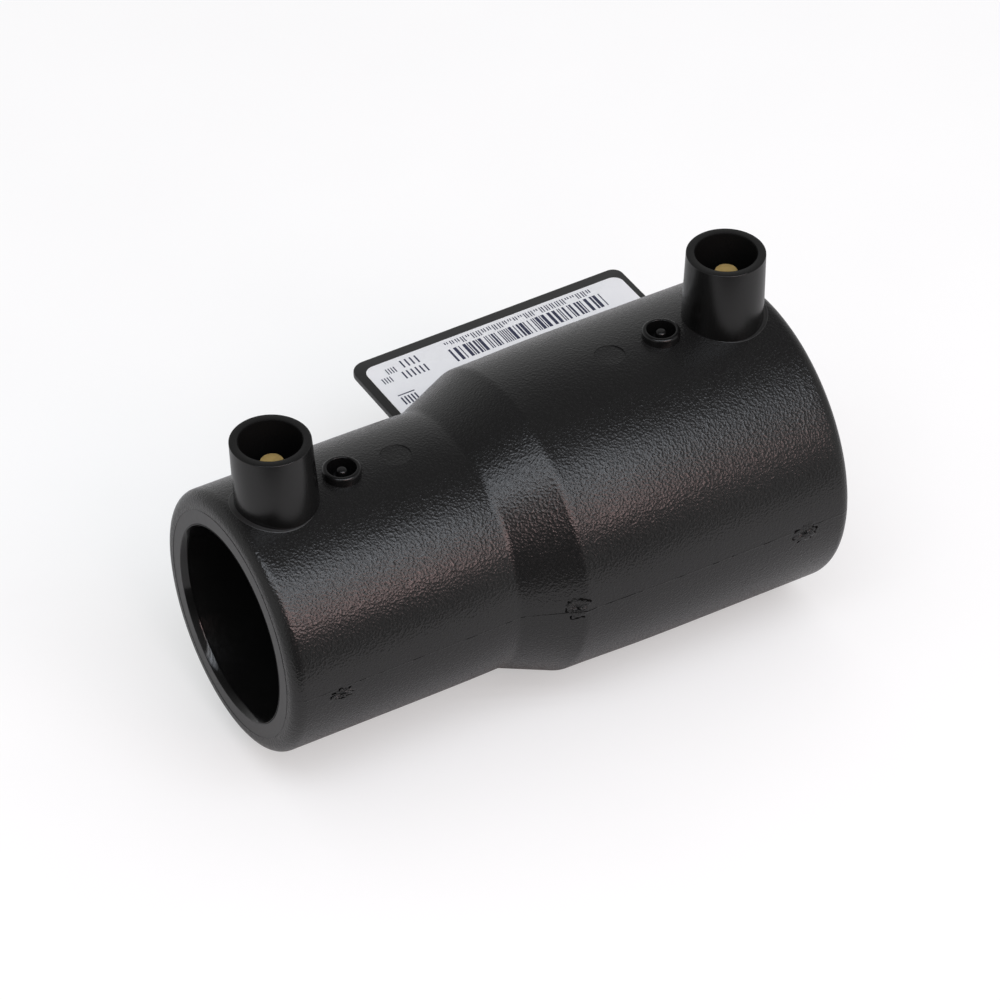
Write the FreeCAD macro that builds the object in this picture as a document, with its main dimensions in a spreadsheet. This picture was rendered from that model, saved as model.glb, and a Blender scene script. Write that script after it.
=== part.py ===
import FreeCAD, Part
import os
import re
import Sketcher

# Electrofusion reducer, 40 mm pipe to 32 mm pipe.
# A thick polyethylene moulding holds two coil sleeves, one heating wire, two brass terminal
# pins in shrouds, two melt indicators and a flat flag with a paper label.
# Frame: origin at the centre of the large mouth, +X out of that mouth along the pipe axis,
# +Z up through the terminals. Depths run inwards from the mouth that they are named for.

SIZES = {
    "fitting_length": 101.0,
    "small_outer_diameter": 44.4,
    "large_outer_diameter": 53.0,
    "small_bore_diameter": 32.4,
    "large_bore_diameter": 40.4,
    "small_socket_depth": 41.0,
    "large_socket_depth": 47.0,
    "small_waterway_diameter": 26.4,
    "large_waterway_diameter": 32.8,
    "rim_radius": 2.0,
    "cone_start_depth": 40.8,
    "cone_length": 9.4,
    "cone_foot_radius": 10.0,
    "cone_shoulder_radius": 12.0,
    "sleeve_wall": 0.6,
    "sleeve_lead_in_chamfer": 0.35,
    "sleeve_seam_chamfer": 0.15,
    "moulding_clearance": 0.05,
    "wire_size": 0.6,
    "coil_length": 24.0,
    "coil_turns": 2,
    "terminal_depth": 8.8,
    "shroud_height": 11.7,
    "shroud_outer_diameter": 13.0,
    "shroud_bore_diameter": 10.1,
    "shroud_bore_depth": 12.0,
    "shroud_edge_chamfer": 0.3,
    "shroud_anchor": 2.6,
    "pin_diameter": 4.0,
    "pin_length": 8.5,
    "pin_tip_chamfer": 0.3,
    "pin_dimple_diameter": 0.9,
    "pin_dimple_depth": 0.35,
    "pin_stem_diameter": 3.2,
    "indicator_depth": 21.0,
    "indicator_ring_diameter": 6.3,
    "indicator_ring_height": 1.4,
    "indicator_ring_edge_chamfer": 0.4,
    "indicator_well_diameter": 4.8,
    "indicator_well_depth": 3.2,
    "indicator_pin_diameter": 1.8,
    "indicator_pin_below_rim": 0.35,
    "indicator_pin_chamfer": 0.4,
    "witness_disc_depth": 30.7,
    "witness_disc_diameter": 5.1,
    "witness_disc_recess": 0.2,
    "flag_length": 53.5,
    "flag_reach": 47.6,
    "flag_thickness": 1.2,
    "flag_corner_radius": 3.2,
    "flag_edge_chamfer": 0.3,
    "flag_anchor": 1.6,
    "label_border": 1.65,
    "label_root_gap": 1.95,
    "label_corner_radius": 1.9,
    "label_thickness": 0.12,
}

doc = FreeCAD.newDocument("ElectrofusionReducer")
sheet = doc.addObject("Spreadsheet::Sheet", "Sizes")
for row, (alias, number) in enumerate(SIZES.items(), start=1):
    sheet.set(f"A{row}", alias.replace("_", " "))
    sheet.set(f"B{row}", str(number))
    sheet.setAlias(f"B{row}", alias)
doc.recompute()


def bound(expression):
    """The same expression, with each size's name read from the sheet."""
    return re.sub(r"[a-z_]+", lambda word: f"Sizes.{word[0]}" if word[0] in SIZES else word[0], expression)


def number_of(expression):
    """The present value of an expression of sizes, in millimetres or degrees."""
    result = sheet.evalExpression(bound(expression))
    return float(getattr(result, "Value", result))


def bind(item, **expressions):
    """Ties an object's properties to the sheet."""
    for name, expression in expressions.items():
        item.setExpression(name.replace("__", "."), bound(expression))


def new_piece(label):
    """An empty body for one physical piece. Its label is the name of its file."""
    piece = doc.addObject("PartDesign::Body", label)
    piece.Label = label
    return piece


def datum(piece, role):
    """One of the piece's own origin planes or axes."""
    return [item for item in piece.Origin.OriginFeatures if item.Role == role][0]


def new_sketch(piece, name, role, lift):
    """A sketch on an origin plane of its piece, raised along the plane's normal by lift."""
    sketch = piece.newObject("Sketcher::SketchObject", name)
    sketch.AttachmentSupport = (datum(piece, role), [""])
    sketch.MapMode = "FlatFace"
    if lift:
        sketch.AttachmentOffset = FreeCAD.Placement(
            FreeCAD.Vector(0, 0, number_of(lift)), FreeCAD.Rotation()
        )
        sketch.setExpression("AttachmentOffset.Base.z", bound(lift))
    return sketch


def hold(sketch, kind, *terms):
    """Adds a dimension whose last term is an expression of sizes."""
    index = sketch.addConstraint(Sketcher.Constraint(kind, *terms[:-1], number_of(terms[-1])))
    sketch.setExpression(f"Constraints[{index}]", bound(terms[-1]))


def outline(piece, name, role, corners, lift=None):
    """A closed outline of straight sides. Each corner is a pair of expressions."""
    sketch = new_sketch(piece, name, role, lift)
    points = [FreeCAD.Vector(number_of(across), number_of(up), 0) for across, up in corners]
    for here, there in zip(points, points[1:] + points[:1]):
        sketch.addGeometry(Part.LineSegment(here, there), False)
    for index, (across, up) in enumerate(corners):
        before = (index - 1) % len(corners)
        sketch.addConstraint(Sketcher.Constraint("Coincident", before, 2, index, 1))
        hold(sketch, "DistanceX", -1, 1, index, 1, across)
        hold(sketch, "DistanceY", -1, 1, index, 1, up)
    return sketch


def disc(piece, name, along, diameter, lift):
    """A circle on the XY plane, centred on the pipe axis at the expression along."""
    sketch = new_sketch(piece, name, "XY_Plane", lift)
    centre = FreeCAD.Vector(number_of(along), 0, 0)
    sketch.addGeometry(Part.Circle(centre, FreeCAD.Vector(0, 0, 1), number_of(diameter) / 2), False)
    sketch.addConstraint(Sketcher.Constraint("PointOnObject", 0, 3, -1))
    hold(sketch, "DistanceX", -1, 1, 0, 3, along)
    hold(sketch, "Diameter", 0, diameter)
    return sketch


def revolve(piece, name, sketch, axis):
    """A full turn of a sketch about one of its own axes."""
    turn = piece.newObject("PartDesign::Revolution", name)
    turn.Profile = sketch
    turn.ReferenceAxis = (sketch, [axis])
    turn.Angle = 360
    return turn


def pad(piece, name, sketch, length):
    """Raises a sketch along its normal."""
    raised = piece.newObject("PartDesign::Pad", name)
    raised.Profile = sketch
    bind(raised, Length=length)
    return raised


def slab(piece, kind, name, sketch, thickness):
    """A pad or pocket that reaches half its thickness to each side of its sketch."""
    feature = piece.newObject(f"PartDesign::{kind}", name)
    feature.Profile = sketch
    feature.SideType = "Symmetric"
    bind(feature, Length=thickness)
    return feature


def sink(piece, name, sketch, depth):
    """Cuts a sketch down from its own level by depth."""
    doc.recompute()
    before = piece.Shape.Volume
    cut = piece.newObject("PartDesign::Pocket", name)
    cut.Profile = sketch
    bind(cut, Length=depth)
    doc.recompute()
    if piece.Shape.Volume >= before:
        raise RuntimeError(f"{name} removes nothing")
    return cut


def soften(piece, name, radius, chosen, kind="Fillet"):
    """Rounds or chamfers the edges of the last feature for which chosen(edge) is true."""
    doc.recompute()
    base = piece.Tip
    edges = [f"Edge{index}" for index, edge in enumerate(base.Shape.Edges, start=1) if chosen(edge)]
    if not edges:
        raise RuntimeError(f"{name} finds no edge")
    soft = piece.newObject(f"PartDesign::{kind}", name)
    soft.Base = (base, edges)
    bind(soft, **{"Radius" if kind == "Fillet" else "Size": radius})
    return soft


def is_ring(edge, centre, radius):
    """True for a circular edge of this radius about this centre."""
    curve = edge.Curve
    if not isinstance(curve, Part.Circle):
        return False
    return abs(curve.Radius - radius) < 1e-4 and (curve.Center - centre).Length < 1e-4


def point_above(along, height):
    """A point in the plane of symmetry, at a height above the pipe axis."""
    return FreeCAD.Vector(number_of(along), 0, number_of(height))


# The two ends of the fitting. Each has its own pipe size, and everything else is set out
# from its own mouth in the same way, mirrored.
ENDS = {
    "small": {"mouth": "-fitting_length", "inwards": "+", "turned": 180},
    "large": {"mouth": "0", "inwards": "-", "turned": 0},
}


def inside(end, depth):
    """Where a depth from this end's mouth falls on the pipe axis."""
    return f"({ENDS[end]['mouth']}) {ENDS[end]['inwards']} ({depth})"


def surface(end):
    """The radius of this end's outside."""
    return f"{end}_outer_diameter / 2"


def wire_bed(end):
    """The radius on which this end's coil is wound, a clearance outside its sleeve."""
    return f"({end}_bore_diameter / 2 + sleeve_wall + moulding_clearance)"


def wire_top(end):
    """The radius of the outside of this end's coil."""
    return f"({wire_bed(end)} + wire_size)"


def wire_room(end):
    """The radius of the room in the moulding that this end's coil lies in."""
    return f"({wire_top(end)} + moulding_clearance)"


def shroud_floor(end):
    """The height of the floor inside this end's terminal shroud."""
    return f"({surface(end)} + shroud_height - shroud_bore_depth)"


def well_floor(end):
    """The height of the floor of this end's indicator well."""
    return f"({surface(end)} + indicator_ring_height - indicator_well_depth)"


coil_start = "terminal_depth - wire_size"
RIM_STEPS = 3
BLEND_STEPS = 2
CONE_ANGLE = "atan((large_outer_diameter - small_outer_diameter) / 2 / cone_length)"


def rounded_rim(end):
    """The corners of this end's outer rim: points on a quarter circle of rim_radius that
    meets the mouth's face and the outside, from the face to the outside."""
    turns = [f"{90 * step / RIM_STEPS} * 1 deg" for step in range(RIM_STEPS + 1)]
    return [
        (inside(end, f"rim_radius * (1 - cos({turn}))"), f"{surface(end)} - rim_radius * (1 - sin({turn}))")
        for turn in turns
    ]


def blended(depth, level, radius, side):
    """The corners of a blend between a cylinder and the cone: points on a circle that is
    tangent to both. side is 1 for the hollow at the cone's foot and -1 for its shoulder."""
    points = []
    for step in range(BLEND_STEPS + 1):
        turn = f"{CONE_ANGLE} * {step / BLEND_STEPS}"
        along = f"({radius} * sin({turn}) - {radius} * tan({CONE_ANGLE} / 2))"
        up = f"{radius} * (1 - cos({turn}))"
        points.append((inside("small", f"{depth} + {side} * {along}"), f"{level} + {side} * {up}"))
    return points[::side]


# The moulding, as one turned section: the outside with its rounded rims and its cone, the
# seats of the two sleeves, the room for the coils, the stops for the pipe ends and the
# tapered waterway between them. The rounds are set out in short flats, which stay within
# 0.07 mm of the true circle and keep the model light.
moulding = new_piece("fitting_body")
section = outline(moulding, "MouldingSection", "XZ_Plane", [
    (inside("small", "0"), wire_bed("small")),
    *rounded_rim("small"),
    *blended("cone_start_depth", surface("small"), "cone_foot_radius", 1),
    *blended("cone_start_depth + cone_length", surface("large"), "cone_shoulder_radius", -1),
    *reversed(rounded_rim("large")),
    (inside("large", "0"), wire_bed("large")),
    (inside("large", coil_start), wire_bed("large")),
    (inside("large", coil_start), wire_room("large")),
    (inside("large", "large_socket_depth"), wire_room("large")),
    (inside("large", "large_socket_depth"), "large_waterway_diameter / 2"),
    (inside("small", "small_socket_depth"), "small_waterway_diameter / 2"),
    (inside("small", "small_socket_depth"), wire_room("small")),
    (inside("small", coil_start), wire_room("small")),
    (inside("small", coil_start), wire_bed("small")),
])
revolve(moulding, "MouldingTurned", section, "H_Axis")

# The label flag stands out from the parting plane of the mould, flush with the large mouth.
flag_root = f"({surface('large')} - flag_anchor)"
flag_plan = outline(moulding, "FlagPlan", "XY_Plane", [
    ("-flag_length", flag_root),
    ("0", flag_root),
    ("0", "flag_reach"),
    ("-flag_length", "flag_reach"),
])
slab(moulding, "Pad", "Flag", flag_plan, "flag_thickness")


def is_flag_corner(edge):
    """True for the two upright edges at the flag's free corners."""
    middle = edge.CenterOfMass
    upright = abs(edge.tangentAt(edge.FirstParameter).z) > 0.999
    return upright and abs(middle.z) < 1e-4 and abs(middle.y - number_of("flag_reach")) < 1e-4


soften(moulding, "FlagCorners", "flag_corner_radius", is_flag_corner)


def is_flag_rim(edge):
    """True for the flag's long outer edges, its rounded corners and its free end."""
    middle = edge.CenterOfMass
    on_a_face = abs(abs(middle.z) - number_of("flag_thickness / 2")) < 1e-4
    clear_of_body = middle.y > number_of(surface("large")) + number_of("flag_corner_radius")
    return on_a_face and clear_of_body


soften(moulding, "FlagRim", "flag_edge_chamfer", is_flag_rim, kind="Chamfer")


# The two terminal shrouds and the rings of the melt indicators.
for end in ENDS:
    name = end.title()
    shroud = disc(moulding, f"{name}ShroudPlan", inside(end, "terminal_depth"),
                  "shroud_outer_diameter", f"{surface(end)} - shroud_anchor")
    pad(moulding, f"{name}Shroud", shroud, "shroud_height + shroud_anchor")
    ring = disc(moulding, f"{name}IndicatorRingPlan", inside(end, "indicator_depth"),
                "indicator_ring_diameter", f"{surface(end)} - indicator_ring_height")
    pad(moulding, f"{name}IndicatorRing", ring, "2 * indicator_ring_height")

# The bores of the shrouds with the holes of the brass pins, the indicator wells with the
# holes of their pins, and the flat discs that the mould's ejector pins leave.
for end in ENDS:
    name = end.title()
    along = inside(end, "terminal_depth")
    shroud_top = f"{surface(end)} + shroud_height"
    sink(moulding, f"{name}ShroudBore",
         disc(moulding, f"{name}ShroudBorePlan", along, "shroud_bore_diameter", shroud_top),
         "shroud_bore_depth")
    sink(moulding, f"{name}StemHole",
         disc(moulding, f"{name}StemHolePlan", along,
              "pin_stem_diameter + 2 * moulding_clearance", shroud_floor(end)),
         f"{shroud_floor(end)} - {wire_top(end)}")
    along = inside(end, "indicator_depth")
    sink(moulding, f"{name}Well",
         disc(moulding, f"{name}WellPlan", along, "indicator_well_diameter",
              f"{surface(end)} + indicator_ring_height"),
         "indicator_well_depth")
    sink(moulding, f"{name}IndicatorHole",
         disc(moulding, f"{name}IndicatorHolePlan", along,
              "indicator_pin_diameter + 2 * moulding_clearance", well_floor(end)),
         f"{well_floor(end)} - {wire_top(end)}")
    sink(moulding, f"{name}WitnessDisc",
         disc(moulding, f"{name}WitnessDiscPlan", inside(end, "witness_disc_depth"),
              "witness_disc_diameter", surface(end)),
         "witness_disc_recess")

# The tunnel that takes the wire through the solid web from one coil's room to the other.
tunnel = outline(moulding, "TunnelSection", "XZ_Plane", [
    (inside("small", "small_socket_depth"), f"{wire_bed('small')} - moulding_clearance"),
    (inside("small", "small_socket_depth"), wire_room("small")),
    (inside("large", "large_socket_depth"), wire_room("large")),
    (inside("large", "large_socket_depth"), f"{wire_bed('large')} - moulding_clearance"),
])
slab(moulding, "Pocket", "WireTunnel", tunnel, "wire_size + 2 * moulding_clearance")

# The outer edges of the shrouds and of the indicator rings are taken off.
for end in ENDS:
    name = end.title()
    rim = point_above(inside(end, "terminal_depth"), f"{surface(end)} + shroud_height")
    soften(moulding, f"{name}ShroudRim", "shroud_edge_chamfer",
           lambda edge: is_ring(edge, rim, number_of("shroud_outer_diameter / 2")), kind="Chamfer")
    rim = point_above(inside(end, "indicator_depth"), f"{surface(end)} + indicator_ring_height")
    soften(moulding, f"{name}IndicatorRim", "indicator_ring_edge_chamfer",
           lambda edge: is_ring(edge, rim, number_of("indicator_ring_diameter / 2")), kind="Chamfer")

# The coil sleeves: thin moulded liners of the sockets, on which the coils are wound.
for end in ENDS:
    sleeve = new_piece(f"{end}_coil_sleeve")
    bore = f"{end}_bore_diameter / 2"
    back = f"-{end}_socket_depth + moulding_clearance"
    wall = outline(sleeve, f"{end.title()}SleeveSection", "XZ_Plane", [
        (back, bore),
        ("-sleeve_lead_in_chamfer", bore),
        ("0", f"{bore} + sleeve_lead_in_chamfer"),
        ("0", f"{bore} + sleeve_wall - sleeve_seam_chamfer"),
        ("-sleeve_seam_chamfer", f"{bore} + sleeve_wall"),
        (back, f"{bore} + sleeve_wall"),
    ])
    revolve(sleeve, f"{end.title()}SleeveTurned", wall, "H_Axis")
    sleeve.Placement.Rotation = FreeCAD.Rotation(FreeCAD.Vector(0, 0, 1), ENDS[end]["turned"])
    bind(sleeve, Placement__Base__x=inside(end, "0"))

# One resistance wire: a coil in each socket, and a straight run that joins them along the top.
wire = new_piece("heating_wire")
for end in ENDS:
    middle = inside(end, "terminal_depth")
    square = outline(wire, f"{end.title()}WireSection", "XZ_Plane", [
        (f"{middle} - wire_size / 2", wire_bed(end)),
        (f"{middle} + wire_size / 2", wire_bed(end)),
        (f"{middle} + wire_size / 2", wire_top(end)),
        (f"{middle} - wire_size / 2", wire_top(end)),
    ])
    coil = wire.newObject("PartDesign::AdditiveHelix", f"{end.title()}Coil")
    coil.Profile = square
    coil.ReferenceAxis = (datum(wire, "X_Axis"), [""])
    coil.Mode = "pitch-turns-angle"
    coil.Reversed = end == "large"
    bind(coil, Pitch="coil_length / coil_turns", Turns="coil_turns")
last_turn = "terminal_depth + coil_length"
run = outline(wire, "LinkSection", "XZ_Plane", [
    (f"{inside('small', last_turn)} - wire_size / 2", wire_bed("small")),
    (f"{inside('small', last_turn)} - wire_size / 2", wire_top("small")),
    (inside("small", "small_socket_depth"), wire_top("small")),
    (inside("large", "large_socket_depth"), wire_top("large")),
    (f"{inside('large', last_turn)} + wire_size / 2", wire_top("large")),
    (f"{inside('large', last_turn)} + wire_size / 2", wire_bed("large")),
    (inside("large", "large_socket_depth"), wire_bed("large")),
    (inside("small", "small_socket_depth"), wire_bed("small")),
])
slab(wire, "Pad", "Link", run, "wire_size")

# The brass terminal pins, turned: a 4 mm plug with a dimpled tip, whose shoulder stands on
# the shroud's floor, and a stem that reaches through the wall to the end of the wire.
for end in ENDS:
    pin = new_piece(f"{end}_terminal_pin")
    foot = f"{wire_room(end)} - {shroud_floor(end)}"
    half = outline(pin, f"{end.title()}PinSection", "XZ_Plane", [
        ("0", foot),
        ("pin_stem_diameter / 2", foot),
        ("pin_stem_diameter / 2", "0"),
        ("pin_diameter / 2", "0"),
        ("pin_diameter / 2", "pin_length - pin_tip_chamfer"),
        ("pin_diameter / 2 - pin_tip_chamfer", "pin_length"),
        ("pin_dimple_diameter / 2", "pin_length"),
        ("0", "pin_length - pin_dimple_depth"),
    ])
    revolve(pin, f"{end.title()}PinTurned", half, "V_Axis")
    bind(pin, Placement__Base__x=inside(end, "terminal_depth"), Placement__Base__z=shroud_floor(end))

# The melt indicators: pins with blunt heads, which the melt pushes up out of their wells.
for end in ENDS:
    tell_tale = new_piece(f"{end}_melt_indicator")
    foot = f"{wire_room(end)} - {well_floor(end)}"
    head = "indicator_well_depth - indicator_pin_below_rim"
    half = outline(tell_tale, f"{end.title()}IndicatorSection", "XZ_Plane", [
        ("0", foot),
        ("indicator_pin_diameter / 2", foot),
        ("indicator_pin_diameter / 2", f"{head} - indicator_pin_chamfer"),
        ("indicator_pin_diameter / 2 - indicator_pin_chamfer", head),
        ("0", head),
    ])
    revolve(tell_tale, f"{end.title()}IndicatorTurned", half, "V_Axis")
    bind(tell_tale, Placement__Base__x=inside(end, "indicator_depth"), Placement__Base__z=well_floor(end))

# The identity label, stuck on the flag inside a bare border.
label = new_piece("identity_label")
label_root = f"({surface('large')} + label_root_gap)"
label_plan = outline(label, "LabelPlan", "XY_Plane", [
    ("-flag_length + label_border", label_root),
    ("-label_border", label_root),
    ("-label_border", "flag_reach - label_border"),
    ("-flag_length + label_border", "flag_reach - label_border"),
], "flag_thickness / 2")
pad(label, "LabelSheet", label_plan, "label_thickness")
soften(label, "LabelCorners", "label_corner_radius",
       lambda edge: abs(edge.tangentAt(edge.FirstParameter).z) > 0.999)

doc.recompute()
faults = [item.Label for item in doc.Objects if "Invalid" in item.State or "Error" in item.State]
if faults:
    raise RuntimeError(f"features that failed: {faults}")
pieces = [item for item in doc.Objects if item.isDerivedFrom("PartDesign::Body")]
for piece in pieces:
    if piece.Shape.isNull() or not piece.Shape.isValid() or len(piece.Shape.Solids) != 1:
        raise RuntimeError(f"{piece.Label} is not one valid solid")

os.makedirs("parts", exist_ok=True)
for piece in pieces:
    piece.Shape.exportStep(f"parts/{piece.Label}.step")
    print(f"{piece.Label}: {piece.Shape.Volume:.1f} cubic mm")
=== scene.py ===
import math

import bmesh
import bpy
import numpy as np
from mathutils import Matrix, Vector


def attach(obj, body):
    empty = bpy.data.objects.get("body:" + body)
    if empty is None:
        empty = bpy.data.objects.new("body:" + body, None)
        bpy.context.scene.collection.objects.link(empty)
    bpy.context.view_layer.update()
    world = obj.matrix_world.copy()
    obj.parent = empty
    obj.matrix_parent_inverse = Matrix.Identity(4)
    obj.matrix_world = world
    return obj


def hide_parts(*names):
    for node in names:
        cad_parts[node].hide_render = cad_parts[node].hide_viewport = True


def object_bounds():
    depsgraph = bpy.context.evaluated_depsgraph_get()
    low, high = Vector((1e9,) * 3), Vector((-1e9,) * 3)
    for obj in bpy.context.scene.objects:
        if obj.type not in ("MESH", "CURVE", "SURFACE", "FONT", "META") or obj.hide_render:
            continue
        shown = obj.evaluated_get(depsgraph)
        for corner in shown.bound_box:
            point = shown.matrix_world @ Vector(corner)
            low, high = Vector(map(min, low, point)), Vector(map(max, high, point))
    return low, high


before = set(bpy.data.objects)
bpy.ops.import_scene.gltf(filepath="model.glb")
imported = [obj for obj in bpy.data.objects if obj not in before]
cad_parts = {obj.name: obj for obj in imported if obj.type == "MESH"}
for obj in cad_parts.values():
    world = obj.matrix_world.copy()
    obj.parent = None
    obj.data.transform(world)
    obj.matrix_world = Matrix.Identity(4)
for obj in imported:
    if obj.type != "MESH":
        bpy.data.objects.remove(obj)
cad_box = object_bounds()


# --- Coil sleeves -------------------------------------------------------------------------
# The liners of the two sockets: black polyethylene, injection moulded on a polished core.
# The coil is wound on each, and the body is moulded over them, so only their ends and bores
# are seen.

MM = 0.001
LENGTH = 101 * MM
ALONG, UP = (1, 0, 0), (0, 0, 1)


def linear(code):
    """An sRGB hex colour as linear red, green, blue and alpha."""
    values = np.array([int(code[i:i + 2], 16) for i in (1, 3, 5)]) / 255
    values = np.where(values <= 0.04045, values / 12.92, ((values + 0.055) / 1.055) ** 2.4)
    return (*values.tolist(), 1.0)


def add(tree, kind, links=None, **settings):
    """Adds a node, sets its properties and sockets, and joins other nodes' outputs to it."""
    node = tree.nodes.new("ShaderNode" + kind)
    for name, value in settings.items():
        setattr(node, name, value)
    for socket, value in (links or {}).items():
        if isinstance(value, bpy.types.NodeSocket):
            tree.links.new(value, node.inputs[socket])
        else:
            node.inputs[socket].default_value = value
    return node


def new_finish(name, ior=1.51):
    """A new material: its node tree, its surface shader and the object's own coordinates."""
    material = bpy.data.materials.new(name)
    material.use_nodes = True
    tree = material.node_tree
    shader = tree.nodes["Principled BSDF"]
    shader.inputs["IOR"].default_value = ior
    place = add(tree, "TexCoord").outputs["Object"]
    return material, tree, shader, place


def arc(centre, radius, start, stop, steps):
    """Points (along, out) on a circle, from one angle in degrees to another, both included."""
    turn = np.radians(np.linspace(start, stop, steps + 1))
    return np.stack([centre[0] + radius * np.cos(turn), centre[1] + radius * np.sin(turn)], -1)


def turned(section, origin, axis, side, angles):
    """Carries a section round an axis. A point (along, out) of it goes to
    origin + along * axis + out * (cos(t) * side + sin(t) * other side) for each angle t."""
    section, axis, side = np.array(section), np.array(axis, float), np.array(side, float)
    other = np.cross(axis, side)
    spokes = np.cos(angles)[:, None] * side + np.sin(angles)[:, None] * other
    return (np.array(origin) + section[:, None, :1] * axis) + section[:, None, 1:] * spokes[None]


def full_turn(count):
    """Equal angles once round a circle, in radians."""
    return np.linspace(0, 2 * np.pi, count, endpoint=False)


def quads(rows, columns, ring):
    """The corner numbers that join a grid of points to its neighbours: always round its
    columns, and round its rows too where the section is a closed ring."""
    row = np.arange(rows if ring else rows - 1)[:, None]
    column = np.arange(columns)[None, :]
    beside, above = (column + 1) % columns, (row + 1) % rows
    corners = [row * columns + column, row * columns + beside,
               above * columns + beside, above * columns + column]
    return np.stack(np.broadcast_arrays(*corners), -1).reshape(-1, 4)


def closed_shape(name, grid, finishes, ring=False, row_finish=0):
    """A closed mesh object from a grid of points, rows by columns. Rows that shrink to a point
    close as poles. row_finish gives the number of each row's finish, or one for all."""
    rows, columns = grid.shape[:2]
    faces = quads(rows, columns, ring)
    mesh = bpy.data.meshes.new(name)
    mesh.from_pydata(grid.reshape(-1, 3).tolist(), [], faces.tolist())
    numbers = np.repeat(np.broadcast_to(row_finish, len(faces) // columns), columns)
    mesh.polygons.foreach_set("material_index", numbers.astype(np.int32))
    same_point = 1e-7
    whole = bmesh.new()
    whole.from_mesh(mesh)
    bmesh.ops.remove_doubles(whole, verts=whole.verts, dist=same_point)
    bmesh.ops.recalc_face_normals(whole, faces=whole.faces)
    whole.to_mesh(mesh)
    whole.free()
    for finish in finishes:
        mesh.materials.append(finish)
    piece = bpy.data.objects.new(name, mesh)
    bpy.context.scene.collection.objects.link(piece)
    return piece


def settle(piece, slot, *nodes, crease=32):
    """Shades a finished piece smooth but for its creases, and ties it to the frame."""
    piece.data.shade_smooth()
    piece.data.set_sharp_from_angle(angle=math.radians(crease))
    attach(piece, "root")
    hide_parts(*nodes)


# Polished black polyethylene: near black and wet looking, with waves some 4 mm apart where the
# plastic has shrunk and a bloom of fine rubs of 0.7 mm.
polished, tree, shader, place = new_finish("polished_black_polyethylene")
shrink = add(tree, "TexNoise", {"Vector": place, "Scale": 260.0, "Detail": 2.0}).outputs["Fac"]
rubbed = add(tree, "TexNoise", {"Vector": place, "Scale": 1400.0, "Detail": 4.0}).outputs["Fac"]
haze = add(tree, "MapRange", {"Value": rubbed, "From Min": 0.35, "From Max": 0.7,
                              "To Min": 0.1, "To Max": 0.18})
shade = add(tree, "Mix", {"Factor": shrink, "A": linear("#0C0C0C"), "B": linear("#121212")},
            data_type="RGBA")
relief = add(tree, "Bump", {"Height": shrink, "Strength": 0.5, "Distance": 0.00008})
tree.links.new(shade.outputs["Result"], shader.inputs["Base Color"])
tree.links.new(haze.outputs["Result"], shader.inputs["Roughness"])
tree.links.new(relief.outputs["Normal"], shader.inputs["Normal"])

SLEEVES = {
    "small": {"bore": 16.2 * MM, "depth": 40.95 * MM, "mouth": -LENGTH, "inwards": 1},
    "large": {"bore": 20.2 * MM, "depth": 46.95 * MM, "mouth": 0.0, "inwards": -1},
}
sleeve_wall = 0.6 * MM
seam = 0.1 * MM
# The bore opens in a curved lip at the mouth and steps down once behind it. The lip widens by a
# power of the way out.
lip_reach, lip_drop, lip_power = 1.15 * MM, 0.46 * MM, 1.35
step_start, step_reach, step_drop = 1.4 * MM, 0.6 * MM, 0.17 * MM

for end, sleeve in SLEEVES.items():
    outside = sleeve["bore"] + sleeve_wall
    entry = outside - seam - lip_drop
    way_out = 1 - np.linspace(1, 0, 13)
    lip = np.stack([lip_reach * (1 - way_out), entry + lip_drop * way_out ** lip_power], -1)
    section = [
        (sleeve["depth"], entry - step_drop),
        (step_start + step_reach, entry - step_drop),
        (step_start, entry),
        *lip,
        *arc((seam, outside - seam), seam, 180, 90, 4),
        (sleeve["depth"], outside),
    ]
    axis = sleeve["inwards"] * np.array(ALONG)
    grid = turned(section, (sleeve["mouth"], 0, 0), axis, UP, full_turn(200))
    liner = closed_shape(f"{end}_sleeve_liner", grid, [polished], ring=True)
    settle(liner, "sleeve", f"{end}_coil_sleeve")


# --- Heating wire -------------------------------------------------------------------------
# One drawn resistance wire of copper alloy. It is wound on both sleeves and sealed in the wall
# when the body is moulded over them.

# Drawn copper alloy: a dull warm metal with fine marks some 1 mm long from the die.
drawn, tree, shader, place = new_finish("drawn_copper_alloy", ior=1.5)
lines = add(tree, "TexNoise", {"Vector": place, "Scale": 900.0, "Detail": 3.0}).outputs["Fac"]
tone = add(tree, "Mix", {"Factor": lines, "A": linear("#8A6A4A"), "B": linear("#B08A62")},
           data_type="RGBA")
haze = add(tree, "MapRange", {"Value": lines, "To Min": 0.3, "To Max": 0.5})
tree.links.new(tone.outputs["Result"], shader.inputs["Base Color"])
tree.links.new(haze.outputs["Result"], shader.inputs["Roughness"])
shader.inputs["Metallic"].default_value = 1.0
wire_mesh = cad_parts["heating_wire"].data
wire_mesh.materials.clear()
wire_mesh.materials.append(drawn)


# --- Moulding -----------------------------------------------------------------------------
# The thick outer body of black polyethylene, injection moulded over both sleeves: barrel,
# terminal shrouds, indicator rings and label flag in one shot. The barrel takes a leathery
# skin from the spark-eroded mould, and the shrouds and mouth faces come off ground steel.

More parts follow.
